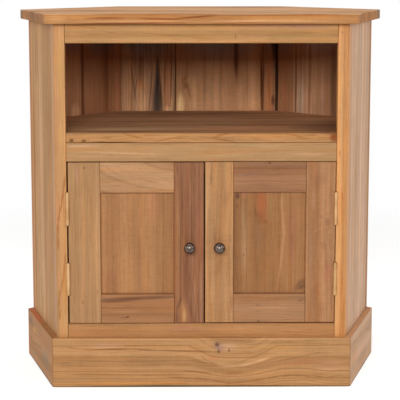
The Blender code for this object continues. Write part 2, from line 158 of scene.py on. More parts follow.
cameraLook = {
    "place": (-0.0237, -2.3188, 0.6760),
    "down": 8.22,
    "right": 0.564,
    "lens": 125.89,
    "sensor": 36,
    "shiftUp": -0.10,
}


def makeCamera(look):
    data = bpy.data.cameras.new("camera")
    data.lens = look["lens"]
    data.sensor_width = look["sensor"]
    data.shift_y = look["shiftUp"]
    camera = bpy.data.objects.new("camera", data)
    camera.location = look["place"]
    camera.rotation_euler = (math.radians(90 - look["down"]), 0, -math.radians(look["right"]))
    bpy.context.scene.collection.objects.link(camera)
    bpy.context.scene.camera = camera


makeCamera(cameraLook)

print("studio")

studioLook = {
    "aim": (0.0, 0.0, 0.3),
    "sky": 0.14,
    "floorRadius": 6,
    "floorDrop": 0.2,  # millimetres below the plinth
    "floorTone": tone(246, 245, 243),
    "floorRoughness": 0.9,
    "floorGlow": 0.50,
    "floorReach": (0.8, 1.7),  # from here to there the floor turns to plain white
    "lamps": {  # turn to the right of the front, height angle, distance, size across and up, power
        "front_lamp": (-4, 19, 2.8, 1.3, 0.60, 40),
        "front_right_lamp": (50, 25, 2.5, 0.8, 0.8, 5),
        "front_left_lamp": (-42, 26, 2.5, 0.8, 0.8, 7),
        "right_lamp": (96, 15, 2.5, 1.0, 1.0, 15),
        "left_lamp": (-96, 15, 2.5, 1.0, 1.0, 11.5),
        "top_lamp": (180, 84, 2.2, 1.2, 1.2, 14),
    },
}


def makeLamps(look):
    aim = Vector(look["aim"])
    for name, (turn, height, distance, wide, high, power) in look["lamps"].items():
        data = bpy.data.lights.new(name, "AREA")
        data.shape = "RECTANGLE"
        data.size, data.size_y = wide, high
        data.energy = power
        lamp = bpy.data.objects.new(name, data)
        across, up = math.radians(turn), math.radians(height)
        toLamp = Vector((math.sin(across) * math.cos(up), -math.cos(across) * math.cos(up), math.sin(up)))
        lamp.location = aim + toLamp * distance
        lamp.rotation_euler = toLamp.to_track_quat("Z", "Y").to_euler()
        bpy.context.scene.collection.objects.link(lamp)


def seenRays(start):  # 1 where the camera, a gloss or a glass ray looks
    tree = start.tree
    path = tree.nodes.new("ShaderNodeLightPath")
    rays = [Wire(tree, path.outputs[f"Is {kind} Ray"]) for kind in ("Camera", "Glossy", "Transmission")]
    first = rays[0].maths("MAXIMUM", rays[0], rays[1])
    return first.maths("MAXIMUM", first, rays[2])


def makeWorld(look):
    world = bpy.data.worlds.new("studio")
    world.use_nodes = True
    tree = world.node_tree
    background = tree.nodes["Background"]
    background.inputs["Color"].default_value = (1, 1, 1, 1)
    seen = seenRays(Wire(tree, background.outputs[0]))
    strength = look["sky"] + seen * (1 - look["sky"])
    tree.links.new(strength.socket, background.inputs["Strength"])
    bpy.context.scene.world = world


def makeFloor(look):
    bpy.ops.mesh.primitive_circle_add(
        vertices=96, radius=look["floorRadius"], fill_type="NGON", location=(0, 0, -look["floorDrop"] * mm)
    )
    floor = bpy.context.object
    floor.name = "floor"
    material, shader, place = newMaterial("floor")
    tree = place.tree
    shader.inputs["Base Color"].default_value = look["floorTone"]
    shader.inputs["Roughness"].default_value = look["floorRoughness"]
    shader.inputs["Specular IOR Level"].default_value = 0.0
    seen = seenRays(place)
    glow = place.add("Emission", {}, {"Strength": seen * look["floorGlow"]})
    lit = place.add("AddShader", {}, {0: Wire(tree, shader.outputs[0]), 1: glow})
    white = place.add("Emission", {}, {"Strength": look["sky"] + seen * (1 - look["sky"])})
    far = place.add("VectorMath", {"operation": "LENGTH"}, {0: place}, "Value")
    mixed = place.add("MixShader", {}, {0: smoothStep(far, *look["floorReach"]), 1: lit, 2: white})
    tree.links.new(mixed.socket, tree.nodes["Material Output"].inputs["Surface"])
    floor.data.materials.append(material)


bpy.ops.object.select_all(action="DESELECT")
makeLamps(studioLook)
makeWorld(studioLook)
makeFloor(studioLook)
bpy.context.scene.view_settings.view_transform = "Standard"

print("teak")


def mark(x, z, wide, high, shade, share=0.6, lean=0, deep=25, y=None):
    # a soft patch: its middle and half sizes in millimetres, seen from the front, its tone, how much of
    # that tone it takes on, and how far it leans to the right; it lies on the front where y isn't given
    return {"middle": (x, y, z), "half": (wide, deep, high), "shade": shade, "lean": lean, "share": share}


def stroke(points, thick, shade, share):  # a line of the grain, as marks from point to point
    marks = []
    for (x, z), (nextX, nextZ) in zip(points, points[1:]):
        lean = -math.degrees(math.atan2(nextZ - z, nextX - x))
        reach = 0.75 * math.hypot(nextX - x, nextZ - z)  # each mark runs a little into the next
        marks.append(mark((x + nextX) / 2, (z + nextZ) / 2, reach, thick, shade, share, lean))
    return marks


plainTeak = {
    "grain": "z",
    "turn": 0,  # how far the board's face is turned from the front, in degrees
    "heart": (150, 60, 0),  # from the board's middle to the heart of the log, in millimetres
    "long": 40,  # how many times longer than wide the rings run
    "gap": 6,  # from one dark line to the next
    "lines": 0.5,  # how dark the lines are
    "spread": 1.0,  # how far the broad stripes part in tone
    "waver": 3,  # how far the grain strays, in millimetres
    "streak": 0.55,  # how dark the short streaks are
    "warmth": 0.7,  # how strongly the hue changes
    "curl": 0.10,  # how strong the ripple across the grain is
    "edge": 0.3,  # how dark the edges are: dark joints, and painted shade where they sit in a groove
    "hidden": 0,  # how much of each edge sits in a groove; the dark edge there is painted shade
    "sheen": 0.25,
    "roughness": 0.46,
    "marks": [],
    "knots": [],  # a place and half sizes, and how far the rings bend round it
}

innerTeak = {"sheen": 0.06, "roughness": 0.72}  # boards inside, with no wax on them
innerWords = ("wall", "back", "shelf", "floor", "batten", "block")

patternLook = {
    # how far the board's own number and the layer's number move a layer along each axis
    "apart": ((1.37, 1), (0.71, -1), (2.13, 3)),
    # layers: sizes across and along the grain, the layer's number, detail and roughness
    "bend": (60, 300, 1, 2.0, 0.5),
    "ripple": (9, 80, 2, 2.0, 0.5),
    "streak": (2.6, 110, 3, 3.0, 0.65),
    "fibre": (0.45, 16, 4, 2.0, 0.6),
    "cloud": (34, 90, 5, 2.0, 0.5),
    "pore": (0.4, 5, 6, 1.0, 0.5),
    "dash": (1.6, 34, 7, 1.0, 0.5),
    "warm": (8, 210, 8, 2.0, 0.6),
    "pink": (5, 60, 9, 2.0, 0.6),
    "curl": (13, 3.6, 10, 2.0, 0.55),  # the light and dark ripple that crosses the grain
    # rings: how many to each gap, how far the board's own number moves them, detail and roughness
    "broadRings": (0.25, 1, 1.0, 0.5),
    "fineRings": (1, 2.7, 2.5, 0.65),
    "ringStops": (0.34, 0.5, 0.66),
    # where each layer starts to show, and where it shows in full
    "linePart": (0.54, 0.68),
    "warmPart": (0.50, 0.66),
    "coolPart": (0.50, 0.34),
    "pinkPart": (0.52, 0.66),
    "dashPart": (0.56, 0.70),
    "porePart": (0.62, 0.72),
    "edgePart": (-1.8, 0.2),  # millimetres from the board's edge
    "markPart": (0.0, 0.7),
    # tones, as a share of the board's own
    "pale": (1.12, 1.13, 1.16),
    "deep": (0.86, 0.82, 0.78),
    "lineShade": (0.70, 0.61, 0.52, 1),
    "warmShade": (1.07, 0.95, 0.74, 1),
    "coolShade": (0.96, 1.01, 1.03, 1),
    "pinkShade": (1.03, 0.97, 1.03, 1),
    "dashShade": (0.78, 0.70, 0.62, 1),
    "jointAndGrooveShade": (0.62, 0.52, 0.44, 1),
    # strengths
    "rippleShare": 0.25,
    "fibreShare": 0.25,
    "cloudShare": 0.30,
    "poreShade": 0.30,
    "poreOutside": 0.35,  # share of the pores between the dark lines
    "markLevel": 0.5,  # the streaks vary a mark about its own strength
    "knotDeep": 40,
    "fibreHigh": 0.5,
    "streakHigh": 0.3,
    "fibreRough": 0.25,
    "poreRough": 0.15,
    "bump": 0.35,
    "bumpHigh": 0.15,
}


def boardFrame(name, look):  # where the board's own axes start, and its box in them
    low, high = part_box(name)
    start = Vector((0, 0, 0))
    if look["turn"]:
        start = Vector(((low.x + high.x) / 2, (low.y + high.y) / 2, 0))
    back = Matrix.Rotation(-math.radians(look["turn"]), 3, "Z")
    points = [back @ (vertex.co - start) / mm for vertex in nodes[name].data.vertices]
    lowest = Vector(min(point[axis] for point in points) for axis in range(3))
    highest = Vector(max(point[axis] for point in points) for axis in range(3))
    return start, lowest, highest


def times(colour, factors):
    return tuple(part * factor for part, factor in zip(colour, factors)) + (1.0,)


def teak(name, changes):
    inner = innerTeak if any(word in name for word in innerWords) else {}
    look = {**plainTeak, **inner, **changes}
    pattern = patternLook
    start, lowest, highest = boardFrame(name, look)
    middle = (lowest + highest) / 2
    half = (highest - lowest) / 2
    alongAxis = "xyz".index(look["grain"])
    # the board's own number, so that no two boards have the same grain
    seed = sum(ord(letter) * (place + 1) for place, letter in enumerate(name)) % 97

    def alongGrain(short, long):
        sizes = [short, short, short]
        sizes[alongAxis] = long
        return sizes

    def layer(where, kind, out="Fac"):
        short, long, part, detail, rough = pattern[kind]
        shares = tuple(1 / size for size in alongGrain(short, long))
        shift = [seed * own + part * other for own, other in pattern["apart"]]
        values = {0: where, 1: shares, 2: shift}
        return noise(where.add("VectorMath", {"operation": "MULTIPLY_ADD"}, values), detail, rough, out)

    def mapped(where, place, turned, sizes):
        values = {"Vector": where, "Location": place, "Rotation": turned, "Scale": sizes}
        return where.add("Mapping", {"vector_type": "TEXTURE"}, values)

    def patch(where, place, lean, sizes, share):
        local = mapped(where, place, (0, math.radians(lean), 0), sizes)
        near = local.add("TexGradient", {"gradient_type": "SPHERICAL"}, {"Vector": local}, "Fac")
        return smoothStep(near, *pattern["markPart"], share)

    def ringLayer(kind):
        pace, shift, detail, rough = pattern[kind]
        return ringNoise(ring * (pace / look["gap"]) + seed * shift, detail, rough)

    material, shader, place = newMaterial("teak_" + name)
    face = mapped(place, start, (0, 0, math.radians(look["turn"])), (mm,) * 3)
    bend = layer(face, "bend", "Color") - 0.5
    ripple = layer(face, "ripple", "Color") - 0.5
    wavy = face + bend * (2 * look["waver"]) + ripple * (2 * look["waver"] * pattern["rippleShare"])

    fromHeart = mapped(wavy, middle + Vector(look["heart"]), (0, 0, 0), alongGrain(1, look["long"]))
    ring = fromHeart.add("VectorMath", {"operation": "LENGTH"}, {0: fromHeart}, "Value")
    front = lowest.y
    for x, z, wide, high, push in look["knots"]:
        ring = ring + patch(face, (x, front, z), 0, (wide, pattern["knotDeep"], high), 1.0) * push

    broad = ringLayer("broadRings")
    fine = ringLayer("fineRings")
    main = tone(*look["main"])
    pale = times(main, [1 + (part - 1) * look["spread"] for part in pattern["pale"]])
    deep = times(main, [1 + (part - 1) * look["spread"] for part in pattern["deep"]])
    stops = list(zip(pattern["ringStops"], (pale, main, deep)))
    colour = broad.add("ValToRGB", {"stops": stops}, {"Fac": broad})
    warm = layer(wavy, "warm")
    pink = layer(wavy, "pink")
    for hue, source in (("warm", warm), ("cool", warm), ("pink", pink)):
        mask = smoothStep(source, *pattern[hue + "Part"], look["warmth"])
        colour = tint(colour, pattern[hue + "Shade"], mask)
    lineMask = smoothStep(fine, *pattern["linePart"])
    colour = tint(colour, pattern["lineShade"], lineMask * look["lines"])

    streaks = layer(wavy, "streak")
    dashes = layer(wavy, "dash")
    fibres = layer(face, "fibre")
    clouds = layer(face, "cloud")
    curls = layer(wavy, "curl")
    outside = pattern["poreOutside"]
    pores = smoothStep(layer(face, "pore"), *pattern["porePart"]) * (outside + lineMask * (1 - outside))

    for spot in look["marks"]:
        x, y, z = spot["middle"]
        ratio = tuple(new / old for new, old in zip(tone(*spot["shade"])[:3], main[:3])) + (1.0,)
        at = (x, front if y is None else y, z)
        mask = patch(wavy, at, spot["lean"], spot["half"], spot["share"])
        colour = tint(colour, ratio, mask * (pattern["markLevel"] + streaks))

    colour = tint(colour, pattern["dashShade"], smoothStep(dashes, *pattern["dashPart"], look["streak"]))
    level = (streaks - 0.5) * look["streak"] + (fibres - 0.5) * pattern["fibreShare"]
    level = level + (clouds - 0.5) * pattern["cloudShare"] + (curls - 0.5) * look["curl"]
    colour = colour * (level + 1 - pores * pattern["poreShade"])

    # darker along the board's edges: dark joints, and painted shade where an edge sits in a groove
    parts = face.add("SeparateXYZ", {}, {0: face - tuple(middle)})
    distances = []
    for axis, label in ((0, "X"), (2, "Z")):
        along = Wire(face.tree, parts.socket.node.outputs[label])
        distances.append(along.maths("ABSOLUTE", along, 0.0) - (half[axis] - look["hidden"]))
    nearest = distances[0].maths("MAXIMUM", distances[0], distances[1])
    edge = smoothStep(nearest, *pattern["edgePart"], look["edge"])
    colour = tint(colour, pattern["jointAndGrooveShade"], edge)

    height = (fibres * pattern["fibreHigh"] + streaks * pattern["streakHigh"]) - pores
    roughness = look["roughness"] + (fibres - 0.5) * pattern["fibreRough"] + pores * pattern["poreRough"]
    shader.inputs["Specular IOR Level"].default_value = look["sheen"]
    dress(shader, colour, roughness, height, pattern["bump"], pattern["bumpHigh"])
    put(name, material)


sideTurn = math.degrees(math.atan2(59, 194))  # the side panels flare 59 mm out over 194 mm

teak("top_board", {
    "main": (180, 125, 75), "grain": "x", "heart": (0, 30, -60), "long": 30, "gap": 5, "sheen": 0.1,
    "roughness": 0.6, "lines": 0.6,
    "marks": [
        mark(0, 591.4, 700, 1.5, (222, 172, 122), 1.0, deep=700, y=0),  # the upper face, made paler as a painted sheen
        mark(-145, 584.6, 48, 1.9, (146, 84, 38), 0.85, lean=0.6),
        mark(-65, 583.3, 54, 1.9, (142, 78, 34), 0.85, lean=1.5),
        mark(-8, 586, 48, 1.9, (132, 72, 32), 0.95, lean=-4.5),
        # painted shadow line along the lower edge of the front, with painted highlights just above it
        mark(-110, 577, 120, 1.4, (132, 70, 36), 0.9),
        mark(-110, 580, 120, 2.2, (218, 158, 106), 0.7),
        mark(110, 579.8, 150, 2.8, (210, 156, 108), 0.7),
        mark(110, 589.6, 150, 1.8, (158, 100, 58), 0.8),
        mark(-190, 586, 40, 3, (206, 146, 88)),
        mark(-225, 584, 26, 8, (208, 154, 102)),
        mark(140, 584, 120, 5, (208, 144, 82)),
        # more of the painted shadow line along the lower edge
        mark(60, 577, 70, 1.2, (150, 86, 44)),
        mark(180, 588, 60, 2, (196, 124, 64), lean=1),
        mark(-272, 584, 32, 14, (150, 104, 66), 0.9, deep=110, y=-100),  # the left end
        mark(-262, 588, 9, 12, (176, 96, 60), 0.7, deep=30, y=-140),
        mark(-296, 584, 8, 14, (120, 100, 74), 0.8, deep=60, y=-10),
        mark(272, 584, 32, 14, (182, 122, 66), 0.8, deep=110, y=-100),  # the right end
        mark(296, 584, 8, 14, (118, 104, 82), 0.8, deep=60, y=-10),
    ],
})
teak("left_stile", {
    "main": (204, 150, 95), "heart": (120, 40, 0), "gap": 5, "lines": 0.25,
    "marks": [
        mark(-225, 330, 3, 314, (200, 142, 100), 0.5),
        mark(-217, 503, 5, 71, (205, 155, 88)),
        mark(-212.5, 440, 1.6, 94, (214, 158, 104), 0.5),
        *stroke(
            [(-213, 338), (-216, 315), (-219, 294), (-223, 277), (-225, 265), (-226, 243), (-226, 220)],
            2.6, (170, 104, 54), 0.75,
        ),
        *stroke(
            [(-214, 214), (-216, 198), (-219, 175), (-223, 157), (-226, 143), (-226, 126), (-225, 106)],
            2.6, (178, 114, 58), 0.65,
        ),
        mark(-217, 160, 5, 50, (212, 142, 76)),
        mark(-228, 120, 2.5, 40, (190, 150, 98)),
    ],
})
teak("right_stile", {
    "main": (218, 157, 98), "heart": (-140, 30, 0), "gap": 5, "lines": 0.25,
    "marks": [
        mark(217.5, 562, 1.4, 1.6, (120, 70, 30), 0.9),
        mark(227, 527, 1.3, 63, (200, 120, 50)),
        mark(219, 393, 2.4, 267, (226, 168, 112), 0.5),
        mark(215.6, 374, 2, 7, (180, 110, 60)),
        mark(221, 306, 2, 15, (206, 124, 70), 0.5, lean=-12),
        mark(220, 170, 2, 60, (198, 130, 64), 0.5),
        mark(225, 110, 4, 44, (198, 132, 66), 0.5),
        mark(229, 170, 3, 90, (200, 146, 84), 0.5),
    ],
})
teak("top_rail", {
    "main": (187, 138, 82), "grain": "x", "heart": (100, 20, -70), "long": 16, "gap": 5, "lines": 0.4,
    "marks": [
        mark(52.5, 556.5, 1, 7, (120, 75, 35), 0.7),
        mark(121, 570, 4.7, 1.1, (150, 100, 60)),
        mark(-140, 562, 22, 1.4, (165, 112, 62), 0.5, lean=14),
        mark(-175, 570, 31, 1.4, (165, 112, 62), 0.5, lean=9),
        mark(-96, 558, 39, 1.3, (168, 118, 65), 0.45, lean=5),
        mark(45, 564.5, 94, 1.4, (165, 118, 66), 0.5, lean=1),
        mark(116, 572.5, 86, 3.5, (185, 132, 108)),
        mark(-2, 549.5, 204, 2.5, (205, 158, 112)),
        mark(-33, 556.5, 94, 4, (190, 140, 72)),
        mark(-60, 560, 60, 1.4, (160, 110, 60), 0.5, lean=3),
        mark(150, 561, 46, 1.6, (168, 122, 66), 0.5, lean=-2),
        mark(-196, 556, 16, 8, (206, 146, 100), 0.5),
        mark(170, 570, 50, 3, (178, 128, 100)),
    ],
})
teak("middle_rail", {
    "main": (176, 133, 87), "grain": "x", "heart": (-60, 50, 30), "long": 20, "gap": 5, "lines": 0.25,
    "marks": [
        # painted shadow at the left end, under the shelf's front edge
        mark(-206, 393, 4.7, 2.4, (110, 70, 35), 0.7),
        mark(-120, 374, 90, 2.4, (204, 156, 108), lean=2),
        mark(-185, 386, 34, 3, (190, 150, 118)),
        mark(-30, 381, 60, 3, (170, 136, 92), 0.5),
        mark(92, 386, 70, 3, (174, 142, 98)),
        mark(40, 370, 60, 3, (200, 152, 100), 0.5, lean=-2),
        mark(170, 372, 40, 4, (196, 150, 106), 0.5),
        mark(110, 376, 34, 1.6, (164, 116, 72), 0.5, lean=-3),
    ],
})
teak("bottom_rail", {
    "main": (195, 140, 88), "grain": "x", "heart": (60, 30, 50), "long": 20, "gap": 5, "lines": 0.3,
    "marks": [
        mark(-25, 93, 39, 6, (190, 130, 98), 0.5),
        mark(-128, 90, 78, 8, (186, 128, 72), 0.5),
        mark(155, 87, 47, 1.6, (165, 105, 60), 0.5),
    ],
})
teak("left_side_panel", {
    "main": (202, 156, 108), "turn": sideTurn - 90, "heart": (60, 90, 0), "gap": 9, "waver": 2,
    "streak": 0.8, "sheen": 0.1, "roughness": 0.6,
    "marks": [
        mark(-97, 300, 7, 400, (140, 108, 80), 0.8),
        mark(-64, 300, 15, 360, (182, 126, 78), 0.8),
        mark(-62, 300, 3, 330, (150, 98, 56)),
        mark(-10, 320, 24, 280, (206, 164, 128)),
        mark(21, 290, 3, 330, (150, 110, 74), 0.7),
        mark(38, 180, 16, 170, (218, 168, 128), 0.5),
        mark(60, 420, 30, 150, (190, 142, 96), 0.5),
        mark(84, 300, 12, 330, (200, 146, 98)),
        mark(-30, 520, 20, 60, (176, 128, 88), 0.5),
    ],
})
teak("right_side_panel", {
    "main": (222, 184, 153), "turn": 90 - sideTurn, "heart": (-60, 90, 0), "gap": 9, "waver": 2,
    "streak": 0.8, "sheen": 0.1, "roughness": 0.6,
    "marks": [
        mark(-88, 300, 9, 360, (198, 142, 96), 0.8),
        mark(-62, 320, 10, 300, (218, 176, 140), 0.5),
        mark(-34, 300, 13, 330, (196, 148, 108), 0.7),
        mark(-12, 300, 2.4, 330, (160, 116, 82), 0.7),
        mark(20, 300, 3, 300, (180, 138, 106)),
        mark(46, 300, 20, 300, (224, 182, 154)),
        mark(62, 420, 4, 130, (200, 176, 142)),
        mark(86, 300, 9, 330, (196, 172, 152), 0.8),
    ],
})
teak("left_wall_front_board", {
    "main": (202, 146, 106), "turn": 45, "heart": (30, 60, 0), "warmth": 0.4,
    "marks": [
        mark(57, 450, 4, 200, (120, 76, 52), 0.7, deep=10),
        mark(40, 410, 16, 24, (244, 188, 140), 0.8, deep=10),
        mark(30, 556, 60, 60, (122, 114, 114), 0.7, deep=10),  # painted shade, dim and grey below the top
    ],
})
teak("left_wall_rear_board", {
    "main": (171, 118, 82), "turn": 45, "heart": (-60, 40, 0), "warmth": 0.4,
    "marks": [
        mark(-45, 450, 4, 200, (104, 66, 46), 0.7, deep=10),
        mark(37, 440, 9, 110, (182, 122, 86), 0.7),
        mark(10, 470, 6, 120, (130, 84, 58)),
        mark(0, 556, 60, 62, (102, 108, 118), 0.8, deep=10),  # painted shade, dim and bluish grey below the top
        mark(-20, 430, 10, 60, (172, 116, 80)),
    ],
})
teak("right_wall_front_board", {
    "main": (198, 150, 112), "turn": -45, "heart": (40, 60, 0), "warmth": 0.4,
    "marks": [
        mark(-65, 430, 12, 60, (212, 178, 150), 0.8),
        mark(-76, 460, 3, 150, (96, 60, 40), 0.7),
        # painted shade below the top, greyer than the board
        mark(-20, 556, 80, 60, (192, 180, 180), 0.7, deep=10),
        mark(-44, 470, 5, 120, (130, 84, 58)),
        mark(-13, 440, 6, 110, (215, 165, 135), 0.7),
        mark(14, 450, 16, 130, (120, 80, 55), 0.7),
    ],
})
teak("right_wall_rear_board", {
    "main": (186, 134, 96), "turn": -45, "heart": (0, 60, 0), "warmth": 0.4,
    "marks": [
        mark(2, 440, 8, 110, (196, 130, 88), 0.5),
        # painted shade, dim and grey below the top
        mark(0, 552, 40, 60, (168, 154, 152), 0.7, deep=10),
    ],
})
teak("back_left_board", {
    "main": (187, 142, 106), "heart": (30, 60, 0), "lines": 0.6, "streak": 1.0, "warmth": 0.4,
    "marks": [
        mark(-127, 450, 10, 110, (212, 158, 114)),
        mark(-117, 455, 2.2, 44, (112, 70, 46), lean=-9),
        mark(-112, 450, 2, 34, (120, 76, 50), 0.5, lean=9),
        mark(-101, 430, 15, 60, (222, 170, 124)),
        mark(-104, 480, 5, 40, (130, 84, 56)),
        mark(-75, 412, 13, 60, (124, 98, 80), 1.0),  # the dark heart of the board
        mark(-75, 434, 9, 60, (128, 102, 84), 1.0),
        mark(-75, 470, 5, 50, (110, 84, 68), 1.0),
        mark(-58, 408, 10, 9, (236, 196, 150)),
        mark(-62, 430, 3, 26, (216, 170, 126), lean=5),
        mark(-50, 416, 3, 18, (226, 184, 138)),
        mark(-87, 440, 2, 60, (84, 56, 42), lean=4),
        mark(-69, 440, 2, 60, (84, 56, 42), lean=-4),
        mark(-104, 452, 9, 14, (206, 128, 74), 0.5),
        mark(-95, 552, 70, 72, (138, 136, 140), 0.9, deep=10),  # painted shade, dim and grey below the top
        mark(-57, 440, 9, 80, (216, 150, 108)),
        mark(-62, 456, 1.8, 70, (124, 78, 52), 0.8),
        mark(-51, 470, 1.8, 80, (120, 76, 50), 0.8),
        mark(-43.5, 460, 2, 160, (78, 50, 36), 0.8),
    ],
})
teak("back_middle_board", {
    "main": (202, 152, 110), "heart": (-20, 50, 0), "gap": 11, "lines": 0.2, "waver": 6, "streak": 0.4,
    "warmth": 0.3, "curl": 0.2,
    "marks": [
        mark(-34, 414, 9, 34, (250, 208, 152), 1.0),
        mark(-36, 450, 4, 60, (218, 166, 120), 0.7),
        mark(-26, 452, 6, 9, (150, 92, 46), lean=20),  # a small knot
        mark(-29, 462, 6, 12, (176, 114, 66), lean=20),
        mark(-20, 440, 4, 20, (172, 112, 66), lean=-12),
        mark(-24, 480, 5, 30, (168, 112, 72), 0.5, lean=4),
        mark(34, 552, 110, 72, (156, 148, 150), 0.9, deep=10),  # painted shade, dim and grey below the top
        mark(-12, 430, 10, 70, (226, 176, 130), 0.7),
        mark(8, 460, 4, 90, (150, 100, 68), 0.4),
        mark(30, 440, 7, 90, (222, 168, 124), 0.4),
        mark(44, 440, 5, 80, (220, 164, 120)),
        mark(37, 470, 1.8, 80, (140, 92, 62), 0.35),
        mark(64.5, 505, 5, 60, (116, 74, 50), 0.9),
        mark(71, 430, 7, 44, (224, 170, 126)),
        mark(84, 470, 2.4, 90, (144, 94, 62), 0.4),
        mark(94, 440, 5, 70, (224, 168, 124)),
        mark(109.5, 445, 3, 90, (112, 62, 34), 0.9),
    ],
})
teak("back_right_board", {
    "main": (178, 130, 95), "heart": (50, 60, 0), "lines": 0.6, "streak": 1.0, "warmth": 0.4,
    "marks": [
        mark(124, 445, 10, 90, (206, 134, 84), 0.7),
        mark(112.5, 445, 2.5, 90, (112, 62, 34), 0.9),
        # painted shade, dim and grey below the top
        mark(124, 552, 16, 60, (150, 134, 130), deep=10),
        mark(133, 540, 9, 70, (66, 44, 34), 0.9, deep=10),
        mark(131, 424, 5, 14, (76, 48, 34), 0.7, deep=10),
        mark(137, 470, 3.5, 180, (52, 32, 22), 0.95),
    ],
})
teak("shelf", {
    "main": (212, 165, 124), "grain": "x", "heart": (0, 30, -50), "long": 25, "gap": 8, "streak": 1.0,
    "marks": [
        mark(0, 398, 900, 60, (190, 138, 89), 1.0, deep=6),  # the front edge
        mark(-110, 407, 150, 5, (240, 198, 152), 0.7, deep=24, y=-104),
        mark(-130, 407, 70, 4, (232, 186, 142), 0.4, deep=6, y=-108),
        mark(-90, 407, 170, 4, (116, 76, 52), 0.8, deep=6, y=-136),
        mark(-130, 407, 100, 4, (148, 100, 70), 0.7, deep=6, y=-74),
        mark(60, 407, 120, 5, (234, 170, 132), 0.8, deep=34, y=-100),
        mark(110, 407, 60, 4, (224, 154, 118), deep=30, y=-30),
        mark(250, 407, 130, 5, (140, 98, 74), 0.8, deep=150, y=-90),
        mark(60, 407, 170, 4, (146, 100, 72), 0.7, deep=6, y=-44),
        mark(-60, 407, 150, 4, (150, 104, 76), deep=8, y=6),
        mark(100, 407, 110, 4, (150, 100, 72), deep=7, y=40),
        mark(-40, 407, 250, 4, (168, 132, 106), 0.7, deep=60, y=130),
        mark(207, 399, 10, 10, (152, 82, 48), 0.85, deep=4),
        # painted shadow at the left end of the front edge
        mark(-203, 395, 5, 3.6, (112, 70, 40), 0.8, deep=4),
        mark(-184, 394.5, 5.5, 3.2, (120, 76, 44), 0.75, deep=4),
        # painted shadow line along the bottom of the front edge
        mark(-150, 391.6, 70, 1.6, (70, 44, 26), 0.8, deep=4),
        mark(-112, 399, 39, 2, (205, 150, 85), 0.5, lean=-8, deep=4),
        mark(22, 396, 47, 1.6, (160, 105, 55), 0.4, lean=8, deep=4),
        mark(84, 401, 63, 2, (210, 150, 95), 0.5, deep=4),
        mark(-110, 402, 30, 2, (176, 118, 60), 0.5, lean=14, deep=4),
        mark(-52, 397, 34, 2, (178, 120, 62), 0.5, lean=-10, deep=4),
        mark(30, 402, 26, 2, (176, 116, 62), 0.5, lean=-16, deep=4),
        mark(66, 397, 22, 2, (222, 168, 118), 0.5, lean=-18, deep=4),
        mark(150, 401, 24, 2, (182, 122, 62), 0.5, lean=14, deep=4),
        mark(176, 398, 20, 2, (224, 166, 108), 0.5, lean=16, deep=4),
        mark(186, 403, 22, 1.6, (236, 186, 136), lean=4, deep=4),
    ],
})
teak("cupboard_floor", {"main": (160, 114, 78), "grain": "x", "heart": (0, 60, -50)})
for name, main, turn in (  # the stop block and the battens, inside
    ("door_stop_block", (165, 118, 80), 0),
    ("shelf_left_batten", (160, 112, 78), 45),
    ("shelf_right_batten", (165, 115, 78), -45),
    ("shelf_back_batten", (158, 112, 76), 0),
    ("floor_left_batten", (165, 118, 80), 45),
    ("floor_right_batten", (158, 112, 76), -45),
    ("floor_back_batten", (162, 114, 78), 0),
):
    teak(name, {"main": main, "turn": turn, "grain": "x"})
